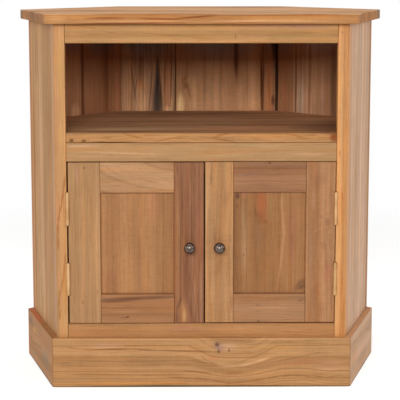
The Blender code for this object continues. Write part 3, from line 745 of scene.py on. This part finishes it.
teak("plinth_front", {
    "main": (187, 139, 90), "grain": "x", "heart": (40, 25, 95), "long": 30, "gap": 4.4, "lines": 0.75,
    "edge": 0.4, "warmth": 0.4, "spread": 0.75, "curl": 0.16,
    "knots": [(50, 58, 78, 62, -18), (150, 12, 60, 40, 5)],
    "marks": [
        *stroke(
            [(-60, 17), (-12, 14), (17, 12), (36, 7), (48, 6), (67, 8), (106, 14)],
            2.2, (164, 104, 52), 0.7,
        ),
        *stroke(
            [(106, 14), (125, 18), (146, 19), (161, 18), (177, 16), (197, 15), (224, 18)],
            2.0, (150, 106, 60), 0.6,
        ),
        *stroke([(56, 40), (76, 47), (89, 51), (106, 56)], 2.0, (158, 114, 62), 0.6),
        *stroke([(72, 68), (98, 72), (161, 73)], 2.0, (158, 114, 62), 0.55),
        *stroke([(30, 33), (59, 34), (83, 41), (106, 48)], 3.2, (216, 166, 120), 0.6),
        *stroke([(120, 42), (158, 50), (174, 54), (191, 57)], 2.2, (160, 110, 68), 0.6),
        *stroke([(-213, 66), (-196, 63), (-155, 61)], 2.0, (148, 98, 56), 0.6),
        *stroke([(-166, 62), (-110, 62), (-76, 60), (22, 57)], 2.4, (134, 86, 46), 0.75),
        *stroke([(-210, 44), (-120, 42), (-20, 43), (12, 38)], 1.8, (158, 108, 64), 0.5),
        *stroke([(-215, 36), (-140, 34), (-60, 36)], 1.8, (158, 110, 66), 0.45),
        *stroke([(-210, 30), (-120, 29), (-30, 28), (10, 22)], 1.8, (154, 104, 62), 0.5),
        *stroke([(-206, 22), (-110, 21), (-20, 20)], 2.2, (146, 98, 56), 0.6),
        *stroke([(-2, 50), (10, 42), (26, 35)], 2.0, (150, 106, 64), 0.5),
        mark(-150, 68, 36, 4.4, (192, 146, 112)),
        mark(26, 66, 15, 11, (158, 118, 86)),  # the knot
        mark(24, 69, 5.5, 4.5, (112, 76, 50), 0.9),
        mark(26, 58, 4.0, 4.6, (122, 84, 56), 0.8, lean=10),
        mark(26, 63.5, 9, 1.6, (172, 138, 116), 0.7),
        mark(26, 64, 1.6, 9, (140, 100, 72), 0.5),
        mark(42.5, 60, 3.0, 4.2, (126, 84, 54), 0.8, lean=-8),
        mark(38, 66, 26, 9, (206, 160, 122)),
        mark(16, 48, 12, 5, (190, 124, 76), 0.5),
        mark(48, 22, 20, 5, (172, 118, 78), lean=-6),
        mark(-112, 6, 150, 5, (204, 142, 76), 0.7),
        mark(70, 2.5, 110, 3.5, (212, 146, 80), 0.7),
        mark(180, 8, 60, 4, (200, 150, 96)),
        mark(160, 40, 46, 5, (196, 128, 84), 0.5, lean=-8),
        mark(205, 34, 34, 14, (200, 146, 108), 0.5),
        mark(110, 64, 60, 6, (198, 150, 88), 0.5),
        mark(0, 79.9, 400, 3.2, (216, 164, 110), 0.8, deep=400),  # painted highlight along the upper edge and over the top face
        mark(0, 0, 400, 4.6, (88, 70, 46), 1.0),  # painted shadow along the foot
    ],
})
teak("plinth_left", {
    "main": (178, 129, 85), "grain": "x", "turn": sideTurn - 90, "heart": (0, 60, 60), "sheen": 0.1,
    "roughness": 0.6, "lines": 0.35, "streak": 0.4, "curl": 0.3,
    "marks": [
        mark(0, 79.9, 400, 1.6, (212, 124, 88), 1.0, deep=400, y=0),
        # painted shadow line on the top, along the foot of the side panel
        mark(20, 79.5, 300, 3.0, (110, 56, 32), 0.9, deep=4, y=9),
        # painted shadow along the foot
        mark(0, 0, 400, 4.4, (96, 78, 56), 0.9),
        *stroke([(-90, 34), (-54, 31), (-20, 36), (12, 38)], 3.0, (140, 100, 64), 0.6),
        mark(-78, 64, 26, 12, (148, 114, 86), 0.8),
        mark(-52, 52, 8, 6, (206, 160, 100), 0.7),
        mark(-34, 58, 26, 8, (194, 148, 88)),
        mark(40, 62, 50, 10, (192, 126, 78), 0.5),
        mark(50, 28, 46, 24, (160, 130, 98), 0.8),
        mark(-40, 14, 50, 9, (176, 138, 102), 0.5),
        mark(-86, 24, 7, 24, (196, 126, 78), 0.7),
    ],
})
teak("plinth_right", {
    "main": (208, 168, 134), "grain": "x", "turn": 90 - sideTurn, "heart": (0, 60, 60), "sheen": 0.1,
    "roughness": 0.6, "lines": 0.15, "streak": 0.25, "spread": 0.6,
    "marks": [
        mark(0, 79.9, 400, 1.6, (208, 158, 118), 1.0, deep=400, y=0),
        # painted shadow along the foot
        mark(0, 0, 400, 4.4, (112, 92, 70), 0.9),
        *stroke([(34, 58), (60, 50), (90, 46)], 3, (166, 128, 98), 0.35),
        *stroke([(-90, 66), (-40, 60), (10, 62)], 2.4, (174, 130, 96), 0.4),
        mark(-70, 40, 34, 26, (206, 152, 108), 0.4),
        mark(80, 56, 24, 20, (186, 156, 132)),
        mark(10, 20, 60, 12, (194, 150, 116), 0.5),
    ],
})
teak("left_door_hinge_stile", {
    "edge": 0.06, "main": (175, 131, 88), "heart": (-160, 60, 0), "gap": 5, "lines": 0.25, "warmth": 0.4,
    "marks": [
        mark(-184, 351, 1.7, 2.4, (70, 38, 22), 0.95),
        mark(-187, 135.5, 2.5, 4, (150, 98, 62), 0.7),
        mark(-200, 338, 3, 25, (190, 150, 98), 0.5),
        mark(-195, 338, 2.5, 28, (196, 140, 112)),
        mark(-178, 220, 4.7, 141, (176, 130, 84), 0.5),
        mark(-165, 236, 4.7, 110, (193, 143, 97), 0.5),
        mark(-164, 153, 4.7, 4.7, (165, 110, 70), 0.5),
    ],
})
teak("left_door_top_rail", {
    "edge": 0.12, "main": (182, 136, 94), "grain": "x", "heart": (76, 8, 42), "long": 2.5, "gap": 9,
    "lines": 0.45,
    "marks": [
        mark(-138.6, 346, 25, 1.1, (160, 108, 68), lean=32),
        mark(-88, 333, 31, 1.1, (158, 106, 66), 0.65, lean=14),
        mark(-91.5, 346, 22, 1.3, (168, 116, 74), 0.5, lean=38),
        mark(-57, 334, 19, 1.1, (165, 112, 70), 0.5, lean=20),
        mark(-135.5, 333.6, 25, 1.1, (172, 120, 78), 0.45, lean=14),
    ],
})
teak("left_door_panel", {
    # the dark rim round the panel, in its groove, is painted shade
    "edge": 0.9, "hidden": 6.4, "main": (174, 123, 78), "heart": (-90, 70, 0), "gap": 7, "lines": 0.3,
    "warmth": 0.4, "streak": 0.45, "curl": 0.3,
    "marks": [
        mark(-139, 208, 1.6, 2, (120, 70, 45)),
        mark(-77, 291, 12.6, 39, (188, 128, 88), 0.5),
        mark(-57, 236, 12.6, 78, (178, 132, 84), 0.5),
        mark(-143, 173, 14, 25, (170, 112, 78), 0.5),
        mark(-116.6, 283, 3, 47, (160, 112, 72), 0.4),
        mark(-99.4, 205, 4, 63, (162, 108, 70), 0.4),
    ],
})
teak("left_door_bottom_rail", {
    "edge": 0.12, "main": (164, 114, 73), "grain": "x", "heart": (0, 40, 50), "long": 18, "lines": 0.35,
    "marks": [
        mark(-117, 111, 4.7, 1.7, (85, 40, 30), 0.9, lean=-20),
        mark(-124, 110, 6.3, 3, (140, 90, 65)),
        mark(-132, 140, 50, 6.4, (120, 80, 50), 0.95, lean=-3),  # the dark band along the top
        mark(-74, 144, 66, 5, (124, 82, 52), 0.95, lean=-2),
        mark(-118, 120, 34, 4, (178, 128, 88), 0.5),
        mark(-104, 128, 47, 1.6, (150, 102, 65), 0.5),
        mark(-44, 106, 4, 2, (130, 70, 50), 0.7),
    ],
})
teak("left_door_lock_stile", {
    "edge": 0.12, "main": (147, 97, 64), "heart": (-150, 30, 0), "gap": 4, "lines": 0.8, "streak": 0.8,
    "marks": [
        mark(-22.4, 275, 6.3, 94, (130, 82, 52), 0.85),
        mark(-23, 181, 7, 71, (122, 76, 48), 0.9),
        mark(-30, 300, 1.6, 70, (116, 72, 42), 0.7),
        mark(-15, 262, 1.6, 50, (112, 68, 42), 0.7),
        mark(-4, 255, 3, 60, (164, 104, 74)),
        mark(-7.5, 275, 4.7, 110, (150, 96, 68)),
        mark(-1.2, 158, 4, 94, (160, 118, 92), 0.5),
        mark(-36.5, 228, 4, 118, (170, 122, 78), 0.8),
        mark(-29, 118, 8, 26, (178, 126, 80), 0.7),
        mark(-27, 112, 3, 16, (188, 138, 88), 0.5),
        mark(-35, 134, 3.2, 18, (112, 72, 52), lean=18),
        mark(-18, 128, 3, 26, (120, 76, 56), lean=-8),
        mark(-39, 110.5, 2.4, 12.6, (120, 80, 58), 0.7),
        mark(-11.4, 142, 3, 46, (172, 126, 96), 0.7),
        mark(-14, 200, 2, 40, (168, 116, 84)),
        mark(-27, 228, 2.4, 19, (165, 110, 60)),
        mark(-38, 351, 3, 12.6, (125, 78, 52)),
        mark(-9.8, 346, 2, 15.7, (120, 72, 50)),
    ],
})
teak("right_door_lock_stile", {
    "edge": 0.12, "main": (182, 134, 88), "heart": (140, 40, 0), "gap": 5, "lines": 0.3, "curl": 0.25,
    "waver": 5,
    "marks": [
        mark(7.9, 231, 1.6, 141, (204, 158, 116), 0.85),
        mark(24.7, 330, 11, 35, (190, 138, 90), 0.5),
        mark(21.6, 227, 16, 16, (182, 126, 84), 0.4),
        mark(49, 134, 1.4, 19, (150, 100, 66)),
        mark(32.6, 158, 8, 39, (188, 142, 98), 0.5),
        mark(28, 190, 7, 26, (166, 114, 68), 0.5, lean=14),
        mark(18, 150, 5, 30, (200, 152, 104), 0.5),
        mark(44, 190, 3, 50, (164, 112, 68), 0.5),
        mark(14, 300, 4, 40, (198, 150, 104), 0.5),
        mark(38, 290, 4, 50, (164, 114, 72), 0.5),
    ],
})
teak("right_door_top_rail", {
    "edge": 0.12, "main": (160, 113, 78), "grain": "x", "heart": (20, 40, -60), "long": 20, "gap": 5,
    "lines": 0.5, "waver": 4.5,
    "marks": [
        mark(106, 359, 3.5, 2.2, (100, 62, 45), 0.85),
        mark(147, 317, 22, 1.3, (125, 82, 60), 0.7),
        mark(76.6, 351.6, 25, 1.3, (142, 98, 70)),
        mark(131.6, 350, 35, 1.3, (142, 96, 68)),
        mark(68.7, 341, 28, 4, (150, 106, 86), 0.5),
        mark(95, 327, 47, 1.6, (145, 100, 72), 0.5),
    ],
})
teak("right_door_panel", {
    # the dark rim round the panel, in its groove, is painted shade
    "edge": 0.85, "hidden": 5.8, "main": (159, 110, 66), "heart": (60, 60, 0), "gap": 7, "lines": 0.35,
    "warmth": 0.5, "streak": 0.5, "curl": 0.22,
    "marks": [
        mark(65.3, 211, 2, 2.4, (115, 72, 48), 0.75),
        mark(56, 306, 4.5, 7, (96, 60, 42), 0.8),
        mark(55.4, 289.6, 1.3, 6.3, (110, 72, 50), 0.7),
        mark(66, 307, 6, 6, (174, 112, 82)),
        mark(65.6, 236, 9.4, 78, (172, 128, 88), 0.7),
        mark(93, 304, 14, 34, (168, 102, 60), 0.7),  # the flame
        mark(96, 286, 10, 32, (170, 98, 54)),
        mark(92, 271, 14, 15, (146, 94, 52)),  # its mottled foot
        mark(85, 280, 3, 14, (134, 86, 48), lean=-10),
        mark(102, 264, 5, 4, (134, 84, 46)),
        mark(109, 288, 3, 28, (150, 116, 70)),
        mark(95, 235, 15, 34, (150, 108, 72), 0.5),
        mark(89, 249, 6.3, 19, (160, 108, 76), 0.4),
        mark(130, 260, 3.2, 44, (182, 130, 88), 0.7, lean=-2),  # the pale line that curves beside it
        mark(127.5, 296, 2.6, 22, (184, 134, 92), lean=3),
        mark(127, 214, 3.2, 40, (182, 130, 86), 0.7, lean=4),
        mark(122, 176, 3.2, 30, (180, 128, 86), lean=6),
        mark(144, 244, 11, 71, (158, 100, 66), 0.7),
        mark(156, 163, 18, 9, (124, 82, 52), 0.85, lean=-50),  # the dark lower corner
        mark(160, 159, 8, 5, (120, 78, 48), lean=-40),
        mark(84, 311, 39, 2.4, (150, 90, 60)),
    ],
})
teak("right_door_hinge_stile", {
    "edge": 0.12, "main": (176, 126, 84), "heart": (170, 50, 0), "gap": 5, "lines": 0.25, "curl": 0.3,
    "waver": 5,
    "marks": [
        mark(190, 273, 4, 4.7, (160, 108, 75), 0.7),
        mark(180, 250, 9.4, 2, (190, 142, 104), 0.5, lean=-38),
        mark(197.6, 181, 8, 25, (178, 112, 82)),
        mark(172.4, 220, 3, 110, (184, 138, 102)),
        mark(189.7, 126, 6.3, 23.6, (172, 118, 80), 0.5),
        mark(200, 264, 6, 9, (150, 98, 66), lean=-20),
        mark(192, 226, 7, 12, (156, 104, 72), 0.5, lean=-30),
        mark(186, 330, 12, 18, (158, 110, 76), 0.45, lean=20),
        mark(176, 300, 6, 22, (192, 144, 108), 0.5),
        mark(203, 205, 5, 30, (188, 136, 100), 0.5),
        mark(180, 150, 8, 26, (162, 110, 74), 0.45, lean=10),
    ],
})
teak("right_door_bottom_rail", {
    "edge": 0.12, "main": (166, 120, 82), "grain": "x", "heart": (-30, 30, -50), "long": 18, "lines": 0.3,
    "marks": [
        mark(156, 138, 5, 1.6, (120, 84, 62), 0.8, lean=-8),
        mark(88.4, 131, 4, 2, (135, 92, 66), 0.7),
        mark(90, 104.4, 2.8, 1.6, (90, 55, 38), 0.85),
        mark(108, 118, 47, 1.6, (165, 120, 84), 0.4),
        mark(108, 126, 47, 1.6, (188, 140, 105), 0.4),
    ],
})
print("metal")


metalPattern = {
    "patch": (3.0, 0.6),  # detail and roughness of the broad patches and of the fine specks
    "speck": (2.0, 0.5),
    "stops": (0.35, 0.6),  # from worn to the main tone
    "speckShade": 0.2,
    "speckRough": 0.1,
    "bump": 0.2,
}


def metal(name, look):
    material, shader, place = newMaterial(name)
    pattern = metalPattern
    broad = noise(place * look["patches"], *pattern["patch"])
    fine = noise(place * look["specks"], *pattern["speck"])
    stops = list(zip(pattern["stops"], (tone(*look["worn"]), tone(*look["main"]))))
    colour = broad.add("ValToRGB", {"stops": stops}, {"Fac": broad})
    colour = colour * (1 - pattern["speckShade"] / 2 + fine * pattern["speckShade"])
    roughness = look["roughness"] + (broad - 0.5) * look["dull"] + (fine - 0.5) * pattern["speckRough"]
    shader.inputs["Metallic"].default_value = look["metallic"]
    dress(shader, colour, roughness, fine, pattern["bump"], look["grit"])
    return material


metals = {
    "brass": metal("hinge_brass", {
        "main": (202, 162, 116), "worn": (182, 142, 96), "metallic": 1.0, "roughness": 0.36,
        "dull": 0.14, "patches": 40, "specks": 1500, "grit": 0.004,
    }),
    "bronze": metal("knob_bronze", {
        "main": (112, 100, 92), "worn": (64, 52, 46), "metallic": 1.0, "roughness": 0.18,
        "dull": 0.3, "patches": 240, "specks": 1800, "grit": 0.03,
    }),
    "steel": metal("bolt_steel", {
        "main": (176, 174, 170), "worn": (150, 148, 146), "metallic": 1.0, "roughness": 0.35,
        "dull": 0.2, "patches": 150, "specks": 1500, "grit": 0.02,
    }),
    "magnet_grey": metal("catch_grey", {
        "main": (84, 84, 86), "worn": (64, 64, 66), "metallic": 0.3, "roughness": 0.55,
        "dull": 0.2, "patches": 200, "specks": 1500, "grit": 0.03,
    }),
}

for name in nodes:
    if name.endswith("_pin"):
        put(name, metals["brass"])
    elif name.endswith(("_bolt", "_strike_plate")):
        put(name, metals["steel"])
    elif name.endswith("_magnet"):
        put(name, metals["magnet_grey"])


def selectAll(action="SELECT"):
    bpy.ops.mesh.select_all(action=action)


def pick(kind, test):  # selects the edges or faces whose middle, in millimetres, passes
    bpy.ops.mesh.select_mode(type={"edges": "EDGE", "faces": "FACE"}[kind])
    selectAll("DESELECT")
    mesh = bmesh.from_edit_mesh(bpy.context.object.data)
    for part in getattr(mesh, kind):
        middle = sum((point.co for point in part.verts), Vector()) / len(part.verts)
        if test(middle / mm, part):
            part.select_set(True)
    mesh.select_flush_mode()
    bmesh.update_edit_mesh(bpy.context.object.data)


def startPiece(name):
    piece = bpy.context.object
    piece.name = name
    piece.data.name = name
    bpy.ops.object.mode_set(mode="EDIT")
    selectAll()
    return piece


def startDisc(name, sides, radius, place, turn=(0, 0, 0)):  # a round face, to be drawn out
    bpy.ops.mesh.primitive_circle_add(
        vertices=sides, radius=radius * mm, fill_type="NGON", location=place,
        rotation=[math.radians(angle) for angle in turn],
    )
    return startPiece(name)


def extrudeBy(*offset):  # millimetres
    bpy.ops.mesh.extrude_region_move(TRANSFORM_OT_translate={"value": [part * mm for part in offset]})


roundLook = {"steps": 2, "sharpest": 50, "smooth": 35}


def finishPiece(piece, bevel, smooth=roundLook["smooth"]):
    selectAll()
    bpy.ops.mesh.normals_make_consistent(inside=False)
    bpy.ops.object.mode_set(mode="OBJECT")
    bpy.ops.object.transform_apply(location=True, rotation=True, scale=True)
    if bevel:
        modifier = piece.modifiers.new("worn_edge", "BEVEL")
        modifier.width = bevel * mm
        modifier.segments = roundLook["steps"]
        modifier.limit_method = "ANGLE"
        modifier.angle_limit = math.radians(roundLook["sharpest"])
        bpy.ops.object.modifier_apply(modifier=modifier.name)
    bpy.ops.object.shade_smooth_by_angle(angle=math.radians(smooth))
    piece.select_set(False)


def placeCopy(piece, name, matrix, finish, body, replaced):
    copy = piece.copy()
    copy.data = piece.data.copy()
    copy.name = copy.data.name = name
    copy.data.transform(matrix)
    copy.data.materials.clear()
    copy.data.materials.append(metals[finish])
    bpy.context.scene.collection.objects.link(copy)
    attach(copy, body)
    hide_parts(replaced)


print("knobs")

knobLook = {
    "sides": 48,
    "start": 0.3,  # the rose lies on the door, this far behind the CAD knob
    "profile": [  # radius of each turned ring, and how far it stands off the door
        (6.1, 0.0), (6.1, 1.1), (5.9, 1.6), (5.4, 1.9), (5.0, 2.2), (4.7, 2.8), (4.3, 3.4),
        (4.1, 4.2), (4.1, 5.4), (4.5, 6.6), (5.4, 7.8), (6.6, 9.2), (7.7, 10.9), (8.5, 12.8),
        (8.95, 15.0), (8.85, 17.0), (8.3, 19.1), (7.2, 20.9), (5.7, 22.3), (3.9, 23.4), (2.0, 24.1),
    ],
    "tip": 0.3,  # the middle stands this far past the last ring
    "smooth": 40,
}


def makeKnob(look):
    low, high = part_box("left_door_knob")
    middle = Vector(((low.x + high.x) / 2, high.y + look["start"] * mm, (low.z + high.z) / 2))
    radius, reach = look["profile"][0]
    knob = startDisc("knob_pattern", look["sides"], radius, middle, (90, 0, 0))
    bpy.ops.mesh.select_mode(type="FACE")
    for nextRadius, nextReach in look["profile"][1:]:
        extrudeBy(0, reach - nextReach, 0)
        share = nextRadius / radius
        bpy.ops.transform.resize(value=(share, 1, share), center_override=middle)
        radius, reach = nextRadius, nextReach
    extrudeBy(0, -look["tip"], 0)
    bpy.ops.mesh.merge(type="CENTER")
    finishPiece(knob, 0, look["smooth"])
    return knob


bpy.ops.object.select_all(action="DESELECT")
knobPattern = makeKnob(knobLook)
for side in ("left", "right"):
    step = Matrix.Translation(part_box(side + "_door_knob")[0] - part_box("left_door_knob")[0])
    placeCopy(knobPattern, side + "_knob", step, "bronze", side + "_door", side + "_door_knob")
bpy.data.objects.remove(knobPattern)

print("hinges")

hingeLook = {  # millimetres from the pin's middle: across, back and up
    "height": 50.8,
    "sides": 32,
    "barrel": 3.0,
    "barrelGap": 0.08,
    "barrelRound": 0.06,
    "barrelSmooth": 20,
    "knuckles": 5,
    "back": 16.5,
    "front": 3.25,  # the plate starts behind the other leaf's barrels
    "inner": 0.2,
    "thick": 1.5,
    "corner": 1.4,
    "cornerSteps": 5,
    "round": 0.12,
    "screwUp": (-17.5, 0.0, 17.5),
    "screwBack": 9.9,
    "screwRadius": 2.6,
    "screwStart": 0.7,
    "screwRim": 0.3,
    "screwProud": 0.1,
    "slotHalf": 0.35,
    "slotDeep": 0.3,
    "touch": 0.1,  # a corner this near to a place is at it
}


def makeLeaf(look, side, own):  # side -1 is the frame's leaf and 1 the door's; own lists its knuckles
    tall, count, touch = look["height"], look["knuckles"], look["touch"]
    step = tall / count
    depth = look["back"] - look["front"]
    levels = [(number + 0.5) * step - tall / 2 for number in own]
    bpy.ops.mesh.primitive_grid_add(
        x_subdivisions=count, y_subdivisions=1, size=1 * mm, rotation=(0, math.radians(90), 0),
        location=(side * look["inner"] * mm, (look["front"] + depth / 2) * mm, 0),
    )
    leaf = startPiece("leaf_pattern")
    bpy.ops.transform.resize(value=(1, depth, tall), center_override=leaf.location)

    def frontEdge(middle, edge):  # in the object's own axes, before its turn is applied
        place = leaf.matrix_world @ (middle * mm) / mm
        return abs(place.y - look["front"]) < touch and any(abs(place.z - level) < touch for level in levels)

    pick("edges", frontEdge)
    extrudeBy(0, -look["front"], 0)
    pick("faces", lambda middle, face: True)
    extrudeBy(side * look["thick"], 0, 0)

    def backCorner(middle, edge):
        ends = [leaf.matrix_world @ point.co / mm for point in edge.verts]
        return all(
            abs(end.y - look["back"]) < touch and abs(abs(end.z) - tall / 2) < touch for end in ends
        )

    pick("edges", backCorner)
    bpy.ops.mesh.bevel(offset=look["corner"] * mm, segments=look["cornerSteps"], affect="EDGES")
    finishPiece(leaf, look["round"])

    pieces = [leaf]
    for level in levels:
        bottom = level - step / 2 + look["barrelGap"] / 2
        barrel = startDisc("barrel", look["sides"], look["barrel"], (0, 0, bottom * mm))
        extrudeBy(0, 0, step - look["barrelGap"])
        finishPiece(barrel, look["barrelRound"], look["barrelSmooth"])
        pieces.append(barrel)
    for level in look["screwUp"]:
        place = Vector((side * look["screwStart"], look["screwBack"], level)) * mm
        screw = startDisc("screw", look["sides"], look["screwRadius"], place, (0, 90, 0))
        top = side * (look["inner"] - look["screwProud"])
        extrudeBy(top - side * look["screwStart"], 0, 0)
        bpy.ops.mesh.inset(thickness=look["screwRim"] * mm, depth=0)
        for edge in (-1, 1):
            selectAll()
            cut = (0, 0, (level + edge * look["slotHalf"]) * mm)
            bpy.ops.mesh.bisect(plane_co=cut, plane_no=(0, 0, 1))

        def slotFace(middle, face):
            place = screw.matrix_world @ (middle * mm) / mm
            return (place - Vector((top, look["screwBack"], level))).length < touch

        pick("faces", slotFace)
        extrudeBy(side * look["slotDeep"], 0, 0)
        finishPiece(screw, 0)
        pieces.append(screw)
    for piece in pieces:
        piece.select_set(True)
    bpy.context.view_layer.objects.active = leaf
    bpy.ops.object.join()
    leaf.select_set(False)
    return leaf


frameLeaf = makeLeaf(hingeLook, -1, range(0, hingeLook["knuckles"], 2))
doorLeaf = makeLeaf(hingeLook, 1, range(1, hingeLook["knuckles"], 2))
for joint in frame["joints"]:
    door = joint["child"]
    for level in ("lower", "upper"):
        hinge = f"{door}_{level}_hinge"
        low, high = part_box(hinge + "_frame_leaf")
        pinLow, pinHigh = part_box(hinge + "_pin")
        pinMiddle = (pinLow + pinHigh) / 2
        place = Matrix.Translation((pinMiddle.x, pinMiddle.y, (low.z + high.z) / 2))
        if door == "right_door":  # turned end for end, the hinge fits the other side
            place = place @ Matrix.Rotation(math.radians(180), 4, "Y")
        for leaf, end, body in ((frameLeaf, "frame_leaf", "carcass"), (doorLeaf, "door_leaf", door)):
            placeCopy(leaf, f"{door}_{level}_{end}", place, "brass", body, f"{hinge}_{end}")
bpy.data.objects.remove(frameLeaf)
bpy.data.objects.remove(doorLeaf)

print("seams")

tongueLook = {
    "wide": 8.0, "thick": 3.0, "low": 2.0, "high": 574.0, "round": 0.6,
    "fibre": (900, 900, 25), "detail": (3.0, 0.6), "stops": (0.3, 0.7),
    "tones": ((96, 60, 40), (146, 100, 68)), "roughness": 0.75, "sheen": 0.06,
}
seams = {  # the middle of each seam of the back and walls, and the turn of its tongue
    "back_left": (-42.05, 173.7, 0),
    "back_right": (111.05, 173.7, 0),
    "left_corner": (-142.1, 173.7, 22.5),
    "right_corner": (142.1, 173.7, -22.5),
    "left_wall": (-210.8, 105.0, 45),
    "right_wall": (169.2, 146.6, -45),
}


def stripTeak(look):
    material, shader, place = newMaterial("raw_teak_strip")
    strand = noise(place * look["fibre"], *look["detail"])
    stops = [(stop, tone(*shade)) for stop, shade in zip(look["stops"], look["tones"])]
    colour = strand.add("ValToRGB", {"stops": stops}, {"Fac": strand})
    place.tree.links.new(colour.socket, shader.inputs["Base Color"])
    shader.inputs["Roughness"].default_value = look["roughness"]
    shader.inputs["Specular IOR Level"].default_value = look["sheen"]
    return material


def makeTongue(name, look, x, y, turn):  # a loose strip let into both boards, which keeps the light out
    tall = look["high"] - look["low"]
    bpy.ops.mesh.primitive_cube_add(
        size=1 * mm, location=(x * mm, y * mm, (look["low"] + tall / 2) * mm),
        rotation=(0, 0, math.radians(turn)), scale=(look["wide"], look["thick"], tall),
    )
    tongue = startPiece(name)
    finishPiece(tongue, look["round"])
    tongue.data.materials.append(tongueTeak)
    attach(tongue, "carcass")


tongueTeak = stripTeak(tongueLook)
for seamName, seam in seams.items():
    makeTongue(seamName + "_tongue", tongueLook, *seam)

print("finish")
